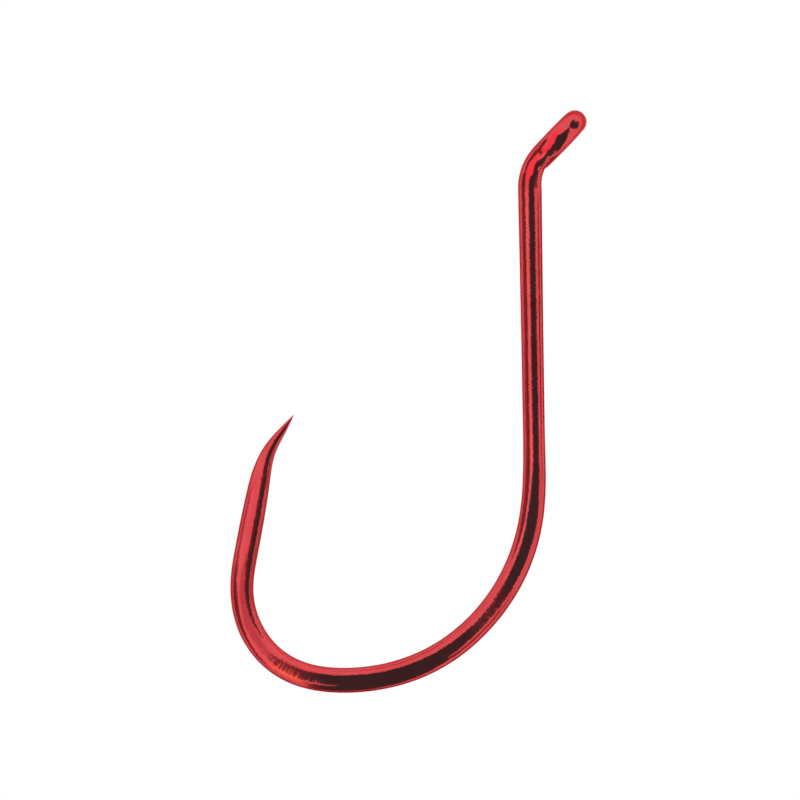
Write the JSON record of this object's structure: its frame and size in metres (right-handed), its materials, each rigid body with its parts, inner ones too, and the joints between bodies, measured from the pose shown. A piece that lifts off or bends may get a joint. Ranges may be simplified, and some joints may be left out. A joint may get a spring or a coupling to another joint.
{
  "type": "fishing hook",
  "caption": "Barbless beak-pattern bait hook with a turned-up ringed eye, a forged bend and a point curved in towards the shank, in polished red lacquer.",
  "frame": {"origin": "middle of the hole in the eye's ring, where the line holds the hook", "axes": "+Z along the shank from the bend up to the eye; +X from the point towards the shank and the way the eye leans; Y across the hook, so the shank, bend, spear and point lie in the plane Y = -0.53 mm, a little in front of the ring's centre"},
  "size_m": [0.0213, 0.0042, 0.0338],
  "materials": {
    "lacquered_wire": "mirror-polished steel wire under clear red lacquer"
  },
  "bodies": {
    "root": {"eye_ring": "lacquered_wire", "neck": "lacquered_wire", "shank": "lacquered_wire", "heel_bend": "lacquered_wire", "front_bend": "lacquered_wire", "spear": "lacquered_wire", "point": "lacquered_wire"}
  },
  "joints": []
}
